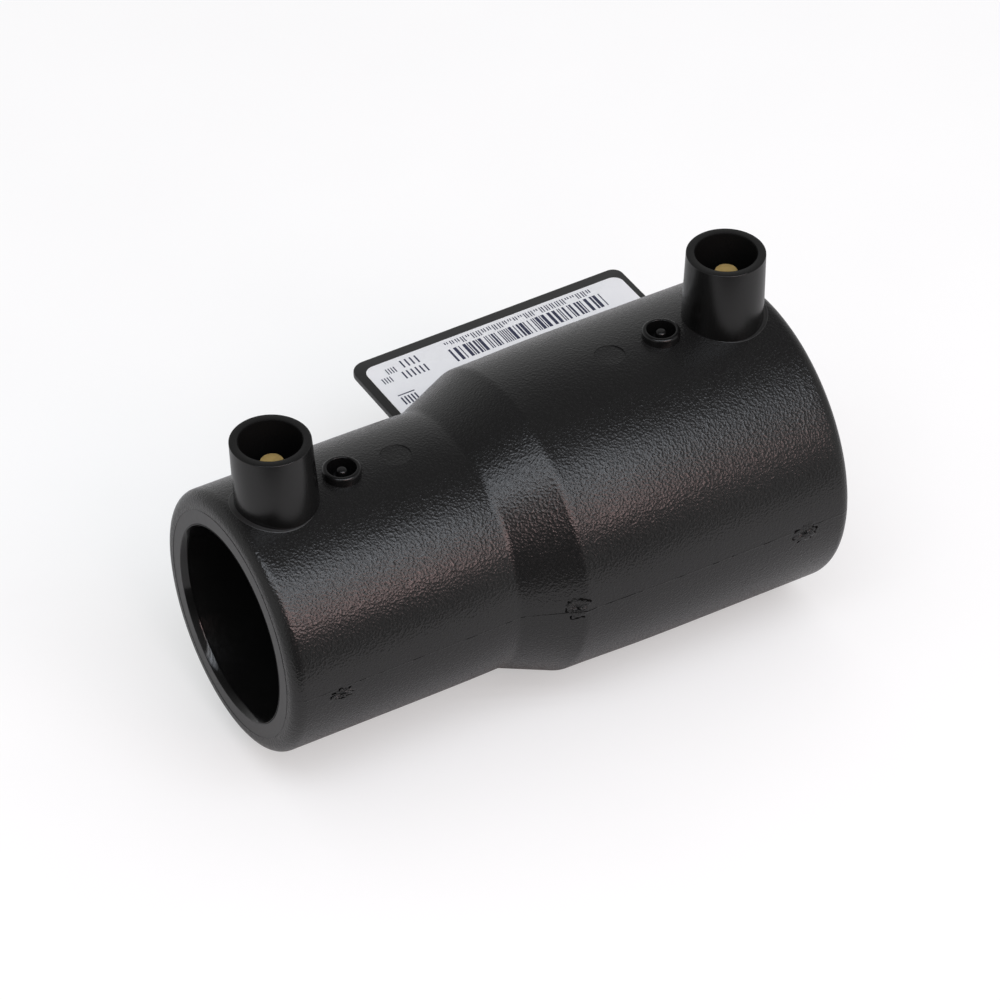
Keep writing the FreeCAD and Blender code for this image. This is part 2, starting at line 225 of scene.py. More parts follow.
# Textured black polyethylene: satin black with fine wrinkles some 0.4 mm apart,
# whose small glossy slopes break every highlight into specks.
textured, tree, shader, place = new_finish("textured_black_polyethylene")
drift = add(tree, "TexNoise", {"Vector": place, "Scale": 1500.0, "Detail": 2.0}).outputs["Color"]
bend = add(tree, "VectorMath", {0: drift, "Scale": 0.0005}, operation="SCALE").outputs["Vector"]
warped = add(tree, "VectorMath", {0: place, 1: bend}, operation="ADD").outputs["Vector"]
wrinkles = add(tree, "TexVoronoi", {"Vector": warped, "Scale": 2700.0},
               feature="SMOOTH_F1").outputs["Distance"]
patches = add(tree, "TexNoise", {"Vector": place, "Scale": 70.0, "Detail": 3.0}).outputs["Fac"]
relief = add(tree, "Bump", {"Height": wrinkles, "Strength": 1.0, "Distance": 0.00006})
shade = add(tree, "Mix", {"Factor": patches, "A": linear("#151515"), "B": linear("#1B1B1B")},
            data_type="RGBA")
haze = add(tree, "MapRange", {"Value": wrinkles, "From Min": 0.1, "From Max": 0.6,
                              "To Min": 0.32, "To Max": 0.18})
tree.links.new(shade.outputs["Result"], shader.inputs["Base Color"])
tree.links.new(haze.outputs["Result"], shader.inputs["Roughness"])
tree.links.new(relief.outputs["Normal"], shader.inputs["Normal"])

# Ground-tool black polyethylene: smooth satin, with faint grinding marks some 0.5 mm long.
satin, tree, shader, place = new_finish("satin_black_polyethylene")
marks = add(tree, "TexNoise", {"Vector": place, "Scale": 2200.0, "Detail": 3.0}).outputs["Fac"]
haze = add(tree, "MapRange", {"Value": marks, "To Min": 0.28, "To Max": 0.4})
shade = add(tree, "Mix", {"Factor": marks, "A": linear("#202020"), "B": linear("#292929")},
            data_type="RGBA")
relief = add(tree, "Bump", {"Height": marks, "Strength": 0.25, "Distance": 0.00004})
shader.inputs["Specular IOR Level"].default_value = 0.65
tree.links.new(shade.outputs["Result"], shader.inputs["Base Color"])
tree.links.new(haze.outputs["Result"], shader.inputs["Roughness"])
tree.links.new(relief.outputs["Normal"], shader.inputs["Normal"])

# Drawn black polyethylene: the shrouds and rings slide out of reamed holes in the mould, which
# leaves a soft gloss with faint upright streaks, 0.4 mm wide and some 6 mm long.
glossy, tree, shader, place = new_finish("drawn_black_polyethylene")
stretched = add(tree, "Mapping", {"Vector": place, "Scale": (1.0, 1.0, 0.06)}).outputs["Vector"]
streaks = add(tree, "TexNoise", {"Vector": stretched, "Scale": 2600.0,
                                 "Detail": 3.0}).outputs["Fac"]
haze = add(tree, "MapRange", {"Value": streaks, "To Min": 0.2, "To Max": 0.27})
shade = add(tree, "Mix", {"Factor": streaks, "A": linear("#090909"), "B": linear("#0F0F0F")},
            data_type="RGBA")
relief = add(tree, "Bump", {"Height": streaks, "Strength": 0.12, "Distance": 0.00003})
tree.links.new(shade.outputs["Result"], shader.inputs["Base Color"])
tree.links.new(haze.outputs["Result"], shader.inputs["Roughness"])
tree.links.new(relief.outputs["Normal"], shader.inputs["Normal"])

# Dull black polyethylene: matt, with a nap of 0.25 mm. The bores of the shrouds have it from an
# etched core, and so does plastic that was torn at a gate or on the parting line. It is also
# painted
# shade: its tone is very dark and it reflects little, which darkens these bores, tears and lines.
matt_and_painted_shade, tree, shader, place = new_finish("matt_black_polyethylene_with_painted_shade")
fibres = add(tree, "TexNoise", {"Vector": place, "Scale": 4000.0, "Detail": 3.0}).outputs["Fac"]
haze = add(tree, "MapRange", {"Value": fibres, "To Min": 0.5, "To Max": 0.7})
# The low specular level is painted shade: it takes most of the reflection away.
shader.inputs["Specular IOR Level"].default_value = 0.08
shade = add(tree, "Mix", {"Factor": fibres, "A": linear("#0A0A0A"), "B": linear("#111111")},
            data_type="RGBA")
relief = add(tree, "Bump", {"Height": fibres, "Strength": 0.8, "Distance": 0.00006})
tree.links.new(shade.outputs["Result"], shader.inputs["Base Color"])
tree.links.new(haze.outputs["Result"], shader.inputs["Roughness"])
tree.links.new(relief.outputs["Normal"], shader.inputs["Normal"])

TEXTURED, SATIN, GLOSSY, MATT_AND_PAINTED_SHADE = range(4)
body_finishes = [textured, satin, glossy, matt_and_painted_shade]

# The two ends: outer radius, place of the mouth and way inwards, bore, depth of the socket,
# waterway, height of the shroud over the crest with its shift at foot and top, and height of
# the pin over the crest.
ENDS = {
    "small": {
        "radius": 22.2 * MM, "mouth": -LENGTH, "inwards": 1,
        "bore": 16.2 * MM, "socket": 41 * MM, "waterway": 13.2 * MM,
        "shroud": 11.95 * MM, "foot_shift": 0.55 * MM, "top_shift": -0.17 * MM,
        "pin": 7.85 * MM,
    },
    "large": {
        "radius": 26.5 * MM, "mouth": 0.0, "inwards": -1,
        "bore": 20.2 * MM, "socket": 47 * MM, "waterway": 16.4 * MM,
        "shroud": 12.3 * MM, "foot_shift": -0.45 * MM, "top_shift": -0.15 * MM,
        "pin": 8.6 * MM,
    },
}
# The rims are rounded, and a fine bead runs round the flat land of each mouth.
rim, land_radius, lip_bead = 2.2 * MM, 19.2 * MM, 0.06 * MM
clearance, wire, coil_start = 0.05 * MM, 0.6 * MM, 8.2 * MM
cone_start, cone_length, cone_round = 40.8 * MM, 10.0 * MM, 3 * MM
small_radius, large_radius = ENDS["small"]["radius"], ENDS["large"]["radius"]
cone_angle = math.atan2(large_radius - small_radius, cone_length)
cone_degrees = math.degrees(cone_angle)


def inside(facts, depth):
    """The place along the pipe axis that is a depth inwards from an end's mouth."""
    return facts["mouth"] + facts["inwards"] * depth


def bed(facts):
    """The radius of an end's hole in the moulding, where its sleeve fits."""
    return facts["bore"] + sleeve_wall + clearance


def room(facts):
    """The radius of the room in which an end's coil lies."""
    return bed(facts) + wire + clearance


def seat(facts):
    """The stepped inside of one socket's wall, from its mouth to its stop: the fit of the
    sleeve, then the room of the coil. Each point is (x, radius)."""
    steps = [
        (0, bed(facts) + seam),
        (seam, bed(facts)),
        (coil_start, bed(facts)),
        (coil_start, room(facts)),
        (facts["socket"], room(facts)),
        (facts["socket"], facts["waterway"]),
    ]
    return [(inside(facts, depth), radius) for depth, radius in steps]


def run(start, stop, radius, count):
    """Points (along, out) at equal steps along a cylinder."""
    return np.stack([np.linspace(start, stop, count), np.full(count, radius)], -1)


# The outside from the small mouth to the large one. The barrels are divided along their length
# too, away from the rims and the cone's rounds, so that no face is long and thin.
foot, shoulder = -LENGTH + cone_start, -LENGTH + cone_start + cone_length
round_reach = cone_round * math.tan(cone_angle / 2)
foot_start, shoulder_stop = foot - round_reach, shoulder + round_reach
past_rim, past_round = 4 * MM, 1 * MM
large_land = land_radius + large_radius - small_radius
outside = np.array([
    (-LENGTH, land_radius),
    *arc((-LENGTH, land_radius + lip_bead), lip_bead, 270, 90, 6),
    *arc((-LENGTH + rim, small_radius - rim), rim, 180, 90, 10),
    *run(-LENGTH + past_rim, foot_start - past_round, small_radius, 30),
    *arc((foot_start, small_radius + cone_round), cone_round, 270, 270 + cone_degrees, 8),
    *arc((shoulder_stop, large_radius - cone_round), cone_round, 90 + cone_degrees, 90, 8),
    *run(shoulder_stop + past_round, -past_rim, large_radius, 38),
    *arc((-rim, large_radius - rim), rim, 90, 0, 10),
    *arc((0.0, large_land + lip_bead), lip_bead, 90, -90, 6),
])
# The thick waist shrinks most as it cools, so the outline is drawn in by a bell curve there.
waist_sink, waist_reach = 0.4 * MM, 11 * MM
outside[:, 1] -= waist_sink * np.exp(-((outside[:, 0] - shoulder) / waist_reach) ** 2)
inner = [*seat(ENDS["large"]), *reversed(seat(ENDS["small"]))]
row_finish = np.array([TEXTURED] * (len(outside) - 1) + [SATIN] * (len(inner) + 1))

# The mould closes along the front and the back of the barrel, where it leaves a fine ridge: a
# bell curve of the distance from the line, with a few more columns of points across it.
ridge, ridge_width = 0.04 * MM, 0.09 * MM
parting = np.pi / 2 * np.array([1, 3])
across = np.array([-3, -1.6, -0.8, 0, 0.8, 1.6, 3]) * ridge_width / large_radius
angles = np.concatenate([full_turn(236), (parting[:, None] + across).ravel()])
angles = np.unique(np.round(angles, 7))
grid = turned([*outside, *inner], (0, 0, 0), ALONG, UP, angles)
off_line = np.abs(angles[:, None] - parting).min(axis=1) * large_radius
lift = 1 + ridge / large_radius * np.exp(-(off_line / ridge_width) ** 2)
grid[:len(outside), :, 1:] *= lift[None, :, None]
body = closed_shape("moulded_body", grid, body_finishes, ring=True, row_finish=row_finish)

added, cut = [], []


def leaned(grid, facts):
    """Shifts a terminal's points along the pipe, from foot_shift at the crest to top_shift at
    the shroud's top, in proportion to their height."""
    share = (grid[..., 2] - facts["radius"]) / facts["shroud"]
    grid[..., 0] += facts["foot_shift"] + (facts["top_shift"] - facts["foot_shift"]) * share
    return grid


def upright(name, section, at, count, finish, facts=None):
    """A shape of the moulding, turned about an upright axis, in one finish. It leans with its
    terminal where facts are given."""
    grid = turned(section, at, UP, ALONG, full_turn(count))
    if facts:
        grid = leaned(grid, facts)
    return closed_shape(name, grid, body_finishes, row_finish=finish)


def dome(centre, radius, barrel, sunk):
    """A round patch of the barrel's surface, closed underneath: a point has the height of a
    cylinder about the pipe axis, and a bell curve raises a bead just inside the edge."""
    near_edge = radius - np.linspace(0, 5, 11) * bead_width
    reach = np.concatenate([[0.0, radius], near_edge, np.linspace(0.85, 0, 6) * radius])
    turn = full_turn(120)
    x = centre + reach[:, None] * np.cos(turn)
    y = reach[:, None] * np.sin(turn)
    raised = bead * np.exp(-((reach - radius + 1.5 * bead_width) / bead_width) ** 2)
    z = np.sqrt(barrel ** 2 - y ** 2) + raised[:, None]
    z[:2] = barrel - sunk
    return np.stack([x, y, z], -1)


# Each terminal's mould insert leaves a shallow round step on the barrel, with the shroud in
# its middle. The shroud is drawn out of the mould, so it widens a little to its foot, and it
# leans a little from the shrinking of the thick wall.
shroud_outside, shroud_draft, shroud_edge = 6.5 * MM, 0.25 * MM, 0.15 * MM
shroud_bore, shroud_floor, shroud_inner_edge = 5.05 * MM, -0.3 * MM, 0.15 * MM
shroud_root = -3 * MM
insert_radius, insert_step, insert_root = 7.1 * MM, 0.02 * MM, 3.5 * MM
bead, bead_width = 0.06 * MM, 0.11 * MM
terminal_depth = 8.8 * MM
stem_hole = 1.65 * MM
over = 1 * MM

for end, facts in ENDS.items():
    x, crest, shroud_top = inside(facts, terminal_depth), facts["radius"], facts["shroud"]
    at = (x, 0, crest)
    step = dome(x, insert_radius, crest + insert_step, insert_root)
    added.append(closed_shape(f"{end}_insert_step", step, body_finishes, row_finish=SATIN))
    section = [
        (shroud_root, 0),
        (shroud_root, shroud_outside + shroud_draft),
        (0, shroud_outside + shroud_draft),
        *arc((shroud_top - shroud_edge, shroud_outside - shroud_edge), shroud_edge, 90, 0, 5),
        (shroud_top, 0),
    ]
    added.append(upright(f"{end}_shroud", section, at, 96, GLOSSY, facts))
    mouth = (shroud_top - shroud_inner_edge, shroud_bore + shroud_inner_edge)
    section = [
        (shroud_floor, 0),
        (shroud_floor, shroud_bore),
        *arc(mouth, shroud_inner_edge, 270, 360, 4),
        (shroud_top + over, shroud_bore + shroud_inner_edge),
        (shroud_top + over, 0),
    ]
    # The bore's walls take the dull finish, which paints shade inside the bore.
    cut.append(upright(f"{end}_shroud_bore", section, at, 96, MATT_AND_PAINTED_SHADE, facts))
    hole_foot = bed(facts) + wire - crest
    section = [
        (hole_foot, 0),
        (hole_foot, stem_hole),
        (shroud_floor + over, stem_hole),
        (shroud_floor + over, 0),
    ]
    cut.append(upright(f"{end}_stem_hole", section, at, 32, SATIN))

# The rings of the melt indicators, with their wells and the holes of their pins.
ring_radius, ring_height, ring_edge, ring_root = 3.15 * MM, 1.4 * MM, 0.45 * MM, -2 * MM
well_radius, well_depth, well_edge = 2.4 * MM, 3.2 * MM, 0.12 * MM
indicator_depth, indicator_hole = 21 * MM, 0.95 * MM

for end, facts in ENDS.items():
    at = (inside(facts, indicator_depth), 0, facts["radius"])
    section = [
        (ring_root, 0),
        (ring_root, ring_radius),
        *arc((ring_height - ring_edge, ring_radius - ring_edge), ring_edge, 90, 0, 6),
        (ring_height, 0),
    ]
    added.append(upright(f"{end}_ring", section, at, 72, GLOSSY))
    floor = ring_height - well_depth
    section = [
        (floor, 0),
        (floor, well_radius),
        *arc((ring_height - well_edge, well_radius + well_edge), well_edge, 270, 360, 3),
        (ring_height + over, well_radius + well_edge),
        (ring_height + over, 0),
    ]
    cut.append(upright(f"{end}_well", section, at, 72, GLOSSY))
    hole_foot = bed(facts) + wire - facts["radius"]
    section = [
        (hole_foot, 0),
        (hole_foot, indicator_hole),
        (floor + over, indicator_hole),
        (floor + over, 0),
    ]
    cut.append(upright(f"{end}_indicator_hole", section, at, 32, SATIN))

# The flat discs that the ejector pins leave on the crest.
disc_depth, disc_radius, disc_recess = 30.7 * MM, 2.55 * MM, 0.2 * MM

for end, facts in ENDS.items():
    at = (inside(facts, disc_depth), 0, facts["radius"])
    section = [(-disc_recess, 0), (-disc_recess, disc_radius), (over, disc_radius), (over, 0)]
    cut.append(upright(f"{end}_ejector_disc", section, at, 64, TEXTURED))

# The flag: a flat plate on the mould's parting plane, flush with the large mouth. Its slant is
# the rise over its length.
flag_thickness, flag_edge = 1.2 * MM, 0.25 * MM
flag_low, flag_high = (-53.3 * MM, 24.9 * MM), (0.65 * MM, 47.6 * MM)
flag_corners = (0, 0, 2.0 * MM, 2.8 * MM)
flag_slant = 0.017


def rounded_plate(low, high, edges, corners, steps=10):
    """A plate with round corners, closed at the middle of both faces. edges gives the height
    and the inset of each outline; corners gives a radius for each corner, from the low one
    anticlockwise. An inset outline keeps each corner's centre and takes the inset off its
    radius, and a corner that is sharper than the inset moves in with it."""
    low, high, corners = np.array(low), np.array(high), np.array(corners)
    heights, insets = edges
    far = np.array([(0, 0), (1, 0), (1, 1), (0, 1)])
    keep = np.maximum(corners, insets[:, None])
    hub = np.where(far, high, low) + (1 - 2 * far) * keep[..., None]
    turn = np.radians(180 + 90 * np.arange(4)[:, None] + np.linspace(0, 90, steps + 1))
    reach = (keep - insets[:, None])[..., None, None]
    outline = hub[:, :, None] + reach * np.stack([np.cos(turn), np.sin(turn)], -1)
    outline = outline.reshape(len(insets), -1, 2)
    middle = np.broadcast_to((low + high) / 2, (1, *outline.shape[1:]))
    plan = np.concatenate([middle, outline, middle])
    height = np.concatenate([heights[:1], heights, heights[-1:]])[:, None, None]
    return np.concatenate([plan, np.broadcast_to(height, (*plan.shape[:2], 1))], -1)


def round_edges(half, edge, steps=4, base=0.0):
    """Heights and insets of a plate's outlines, from the lower face to the upper one, where
    both edges are rounded by quarter circles."""
    turn = np.radians(np.linspace(0, 90, steps + 1))
    drop, inset = edge * (1 - np.sin(turn)), edge * (1 - np.cos(turn))
    heights = np.concatenate([base - half + drop[::-1], base + half - drop])
    return heights, np.concatenate([inset[::-1], inset])


def slanted(points):
    """Shifts points away from the pipe in proportion to their distance from the flag's small
    end, as the flag has bent a little in cooling."""
    points[..., 1] += flag_slant * (points[..., 0] - flag_low[0])
    return points


edges = round_edges(flag_thickness / 2, flag_edge)
plate = slanted(rounded_plate(flag_low, flag_high, edges, flag_corners))
added.append(closed_shape("flag", plate, body_finishes, row_finish=SATIN))

# The gates were torn off at three places near the parting line. Each left a low rough patch in
# a torn outline. Place along and round the barrel, length and width for each.
SCARS = np.array([(-92.75, 1.25, 3.7, 2.0), (-51.65, -0.75, 3.6, 4.0),
                  (-9.15, 1.0, 4.2, 3.2)]) * MM
SCAR_SEEDS = (11, 12, 13)
scar_height, scar_root = 0.08 * MM, -1.0 * MM
tear_radius, tear_depth = 0.2 * MM, 0.08 * MM
outline_x, outline_radius = outside.T


def waves(draw, turn, low, high, orders):
    """A sum of sine waves of the angle, one for each order, with drawn heights and phases."""
    return sum(draw.uniform(low, high) * np.sin(k * turn + draw.uniform(0, 6.28))
               for k in orders)


def ragged_outline(length, width, draw, turn):
    """An oval box, |x|^2.4 + |y|^2.4 = 1, whose reach wavers by a sum of four sine waves."""
    waver = 1 + waves(draw, turn, -0.12, 0.12, (3, 5, 8, 13))
    boxy = (np.abs(np.cos(turn)) ** 2.4 + np.abs(np.sin(turn)) ** 2.4) ** (-1 / 2.4)
    return boxy * waver * np.cos(turn) * length / 2, boxy * waver * np.sin(turn) * width / 2


def on_front(along, round_by, height):
    """Points at a place along the pipe, a distance round the front below the parting line,
    and a height over the outer surface there."""
    out = np.interp(along, outline_x, outline_radius) + height
    around = np.pi / 2 + round_by / out
    return np.stack([along, -out * np.sin(around), out * np.cos(around)], -1)


for number, (x, below, length, width) in enumerate(SCARS):
    draw = np.random.default_rng(SCAR_SEEDS[number])
    turn = full_turn(120)
    u, v = ragged_outline(length, width, draw, turn)
    # The patch rises in the outer sixth of its reach and is rough from there to its middle.
    share = np.concatenate([[0.0, 1.0], np.linspace(1.0, 0.0, 14)])[:, None]
    rough = draw.uniform(-0.5, 0.5, (len(share), len(turn)))
    rise, roughness = np.clip((1 - share) * 6, -0.5, 1), np.clip((1 - share) * 5, 0, 1)
    height = scar_height * (rise + rough * roughness)
    height[-1] = height[-1].mean()
    height[:2] = scar_root
    patch = on_front(x + share * u, below + share * v, height)
    added.append(closed_shape(f"gate_scar_{number}", patch, body_finishes, row_finish=TEXTURED))
    # The tear is a thin tube along the outline, which dips in and out of the surface. The groove
    # it cuts takes the dull finish, which paints shade in it.
    ring = full_turn(8)[:, None]
    dip = waves(draw, turn, 0.3, 1.0, (2, 3, 7))
    lift = np.where(dip > -0.2, -tear_depth, 3 * tear_radius)
    lift = np.convolve(np.concatenate([lift[-3:], lift, lift[:3]]), np.full(7, 1 / 7), "valid")
    thick = tear_radius * (1 + 0.4 * np.sin(11 * turn + draw.uniform(0, 6.28)))
    aside, above = thick * np.cos(ring), thick * np.sin(ring)
    tube = on_front(x + u + aside * np.cos(turn), below + v + aside * np.sin(turn),
                    lift + scar_height / 2 + above)
    cut.append(closed_shape(f"gate_tear_{number}", tube, body_finishes, ring=True,
                            row_finish=MATT_AND_PAINTED_SHADE))


def combine(base, added, cut):
    """Joins the added shapes to the base and takes the cut shapes out of it, as one closed
    mesh of triangles without slivers. The shapes themselves are deleted."""
    for shape, operation in [(s, "UNION") for s in added] + [(s, "DIFFERENCE") for s in cut]:
        modifier = base.modifiers.new(shape.name, "BOOLEAN")
        modifier.object, modifier.operation, modifier.solver = shape, operation, "MANIFOLD"
    view = bpy.context.evaluated_depsgraph_get()
    result = bpy.data.meshes.new_from_object(base.evaluated_get(view))
    sliver = 1e-6
    whole = bmesh.new()
    whole.from_mesh(result)
    bmesh.ops.remove_doubles(whole, verts=whole.verts, dist=sliver)
    bmesh.ops.dissolve_degenerate(whole, edges=whole.edges, dist=sliver)
    bmesh.ops.triangulate(whole, faces=whole.faces)
    whole.to_mesh(result)
    whole.free()
    base.modifiers.clear()
    base.data = result
    for shape in added + cut:
        bpy.data.objects.remove(shape)


combine(body, added, cut)

# Torn flash makes the parting line at the front matt in dashes, and the dull finish there also
# paints shade along it. The dashes fall where two waves of the place along it add up to more than
# a bar. The bar is lower near the waist, so the line is nearly whole there.
count = len(body.data.polygons)
centre, finish = np.empty(count * 3), np.empty(count, np.int32)
body.data.polygons.foreach_get("center", centre)
body.data.polygons.foreach_get("material_index", finish)
x, y, z = centre.reshape(-1, 3).T
in_front = y < -small_radius + 0.1 * MM
on_line = (np.abs(z) < 0.8 * ridge_width) & in_front & (finish == TEXTURED)
waviness = np.sin(0.7 * x / MM) + np.sin(1.9 * x / MM + 1)
bar = np.where(np.abs(x - shoulder) < 10 * MM, -0.6, 1.0)
finish[on_line & (waviness > bar)] = MATT_AND_PAINTED_SHADE
body.data.polygons.foreach_set("material_index", finish)
settle(body, "moulding", "fitting_body")


# --- Terminal pins ------------------------------------------------------------------------
# Turned brass pins of the 4 mm size, which take the plugs of the welding leads. Each stands on
# its shroud's floor, and its stem is pressed on the end of the wire.

# Turned brass: pale yellow metal with fine marks of the parting tool, 0.4 mm apart, dulled by
# handling.
turned_brass, tree, shader, place = new_finish("turned_brass", ior=1.5)
marks = add(tree, "TexNoise", {"Vector": place, "Scale": 2500.0, "Detail": 4.0}).outputs["Fac"]
tone = add(tree, "Mix", {"Factor": marks, "A": linear("#E9C97A"), "B": linear("#FBE6AC")},
           data_type="RGBA")
haze = add(tree, "MapRange", {"Value": marks, "To Min": 0.65, "To Max": 0.85})
relief = add(tree, "Bump", {"Height": marks, "Strength": 0.5, "Distance": 0.00004})
tree.links.new(tone.outputs["Result"], shader.inputs["Base Color"])
tree.links.new(haze.outputs["Result"], shader.inputs["Roughness"])
tree.links.new(relief.outputs["Normal"], shader.inputs["Normal"])
shader.inputs["Metallic"].default_value = 1.0

pin_radius, pin_edge, pin_stem = 1.9 * MM, 0.25 * MM, 1.6 * MM
pip_radius, pip_depth = 0.3 * MM, 0.1 * MM

for end, facts in ENDS.items():
    floor = facts["radius"] + shroud_floor
    pin_length = facts["pin"] - shroud_floor
    stem_foot = room(facts) - floor
    section = [
        (stem_foot, 0),
        (stem_foot, pin_stem),
        (0, pin_stem),
        (0, pin_radius),
        *arc((pin_length - pin_edge, pin_radius - pin_edge), pin_edge, 90, 0, 5),
        (pin_length, pip_radius),
        (pin_length - pip_depth, 0),
    ]
    at = (inside(facts, terminal_depth), 0, floor)
    grid = turned(section, at, UP, ALONG, full_turn(64))
    pin = closed_shape(f"{end}_brass_pin", grid, [turned_brass])
    settle(pin, "terminal", f"{end}_terminal_pin")


# --- Melt indicators ----------------------------------------------------------------------
# Small pins of the same black polyethylene, moulded smooth. They stand in their wells, and the
# melt pushes them up once as a sign that the joint has fused.

tip_radius, tip_below_rim, tip_round = 0.9 * MM, 0.35 * MM, 0.45 * MM

for end, facts in ENDS.items():
    floor = facts["radius"] + ring_height - well_depth
    foot_of_pin = room(facts) - floor
    head = well_depth - tip_below_rim
    section = [
        (foot_of_pin, 0),
        (foot_of_pin, tip_radius),
        *arc((head - tip_round, tip_radius - tip_round), tip_round, 90, 0, 6),
        (head, 0),
    ]
    at = (inside(facts, indicator_depth), 0, floor)
    grid = turned(section, at, UP, ALONG, full_turn(48))
    tell_tale = closed_shape(f"{end}_indicator_pin", grid, [polished])
    settle(tell_tale, "indicator", f"{end}_melt_indicator")


# --- Identity label -----------------------------------------------------------------------
# A white film label with a printed code, cut with round corners and stuck on the flag inside
# its bare border.

# White film: a smooth, faintly blue white with a soft gloss, slightly uneven every 2.5 mm.
film, tree, shader, place = new_finish("white_label_film", ior=1.47)
fibre = add(tree, "TexNoise", {"Vector": place, "Scale": 400.0, "Detail": 4.0}).outputs["Fac"]
tone = add(tree, "Mix", {"Factor": fibre, "A": linear("#EAEAED"), "B": linear("#F1F1F3")},
           data_type="RGBA")
haze = add(tree, "MapRange", {"Value": fibre, "To Min": 0.34, "To Max": 0.44})
relief = add(tree, "Bump", {"Height": fibre, "Strength": 0.2, "Distance": 0.00003})
tree.links.new(tone.outputs["Result"], shader.inputs["Base Color"])
tree.links.new(haze.outputs["Result"], shader.inputs["Roughness"])
tree.links.new(relief.outputs["Normal"], shader.inputs["Normal"])

label_low, label_high = (-51.7 * MM, 28.2 * MM), (-0.6 * MM, 45.3 * MM)
label_corner, label_thickness, label_edge = 1.9 * MM, 0.12 * MM, 0.03 * MM
edges = round_edges(label_thickness / 2, label_edge, steps=2,
                    base=flag_thickness / 2 + label_thickness / 2)
sheet = slanted(rounded_plate(label_low, label_high, edges, (label_corner,) * 4))
label_film = closed_shape("label_film", sheet, [film])
settle(label_film, "label", "identity_label")

# Printing ink: thermal print, a dark slightly blue grey that is duller than the film and
# patchy every 0.3 mm.
ink, tree, shader, place = new_finish("dark_printing_ink", ior=1.5)
wear = add(tree, "TexNoise", {"Vector": place, "Scale": 3000.0, "Detail": 3.0}).outputs["Fac"]
tone = add(tree, "Mix", {"Factor": wear, "A": linear("#262A42"), "B": linear("#3A3E58")},
           data_type="RGBA")
haze = add(tree, "MapRange", {"Value": wear, "To Min": 0.45, "To Max": 0.6})
tree.links.new(tone.outputs["Result"], shader.inputs["Base Color"])
tree.links.new(haze.outputs["Result"], shader.inputs["Roughness"])

# The print is flat boxes, each given by its left, low, right and high side: the bars of the
# code, the pairs of short marks over them, and five rows of strokes and a rule at the left.
draw = np.random.default_rng(5)
module = 0.2 * MM
bars_left, bars_right, bars_low, bars_high = np.array([-36.5, -6.2, 38.9, 42.5]) * MM
widths = draw.choice([1, 1, 2, 3], 60) * module
gaps = draw.choice([1, 1, 2, 3], 60) * module
starts = bars_left + np.concatenate([[0], np.cumsum(widths + gaps)[:-1]])
bars = np.stack(np.broadcast_arrays(starts, bars_low, starts + widths, bars_high), -1)
bars = bars[starts + widths < bars_right]

marks_low, marks_high, mark_width, pair_gap = np.array([43.0, 44.5, 0.2, 0.45]) * MM
pairs = np.arange(-36.2, -7.0, 1.05) * MM
raised = draw.choice([0, 0, 0.5, 0.9], 40)[:len(pairs)] * MM
starts = pairs[:, None] + np.array([0, pair_gap])
marks = np.stack(np.broadcast_arrays(starts, marks_low + raised[:, None], starts + mark_width,
                                     marks_high), -1).reshape(-1, 4)

# Left and low side of the first stroke, number, pitch, width and height, in millimetres.
STROKE_ROWS = [
    (-45.2, 42.2, 4, 0.95, 0.3, 2.0),
    (-46.3, 39.4, 6, 0.85, 0.3, 2.0),
    (-48.4, 41.9, 4, 0.5, 0.2, 1.5),
    (-50.2, 39.9, 4, 0.5, 0.2, 1.5),
    (-49.8, 33.4, 5, 0.65, 0.3, 2.1),
]
strokes = [(x + k * pitch, y, x + k * pitch + width, y + height)
           for x, y, count, pitch, width, height in STROKE_ROWS for k in range(count)]
rule = (-49.9, 36.0, -46.7, 36.25)
boxes = np.concatenate([bars, marks, np.array([*strokes, rule]) * MM])

ink_sunk, ink_height = 0.01 * MM, 0.015 * MM
print_base = flag_thickness / 2 + label_thickness
outline = boxes[:, [[0, 1], [2, 1], [2, 3], [0, 3]]]
levels = np.array([print_base - ink_sunk, print_base + ink_height])
points = np.concatenate([
    np.broadcast_to(outline[:, None], (len(boxes), 2, 4, 2)),
    np.broadcast_to(levels[:, None, None], (len(boxes), 2, 4, 1)),
], -1)
box_faces = np.array([(0, 3, 2, 1), (4, 5, 6, 7), (0, 1, 5, 4), (1, 2, 6, 5), (2, 3, 7, 6),
                      (3, 0, 4, 7)])
faces = (np.arange(len(boxes))[:, None, None] * 8 + box_faces[None]).reshape(-1, 4)
print_mesh = bpy.data.meshes.new("label_print")
print_mesh.from_pydata(slanted(points).reshape(-1, 3).tolist(), [], faces.tolist())
print_mesh.materials.append(ink)
printing = bpy.data.objects.new("label_print", print_mesh)
bpy.context.scene.collection.objects.link(printing)
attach(printing, "root")


# --- Table, light and camera --------------------------------------------------------------
# A round white paper table under a bank of soft strip lights at the front and above, in a dim
# studio, as for a catalogue.

middle = Vector((-0.05, 0.0, 0.0))
table_radius, table_right, table_back = 0.27, 0.03, 0.13
turn = full_turn(128)
edge = np.stack([table_right + table_radius * np.cos(turn),
                 table_back + table_radius * np.sin(turn),
                 np.full(len(turn), cad_box[0][2])], -1)
table_mesh = bpy.data.meshes.new("table_top")
table_mesh.from_pydata(edge.tolist(), [], [tuple(range(len(turn)))])
table_top = bpy.data.objects.new("table_top", table_mesh)
bpy.context.scene.collection.objects.link(table_top)

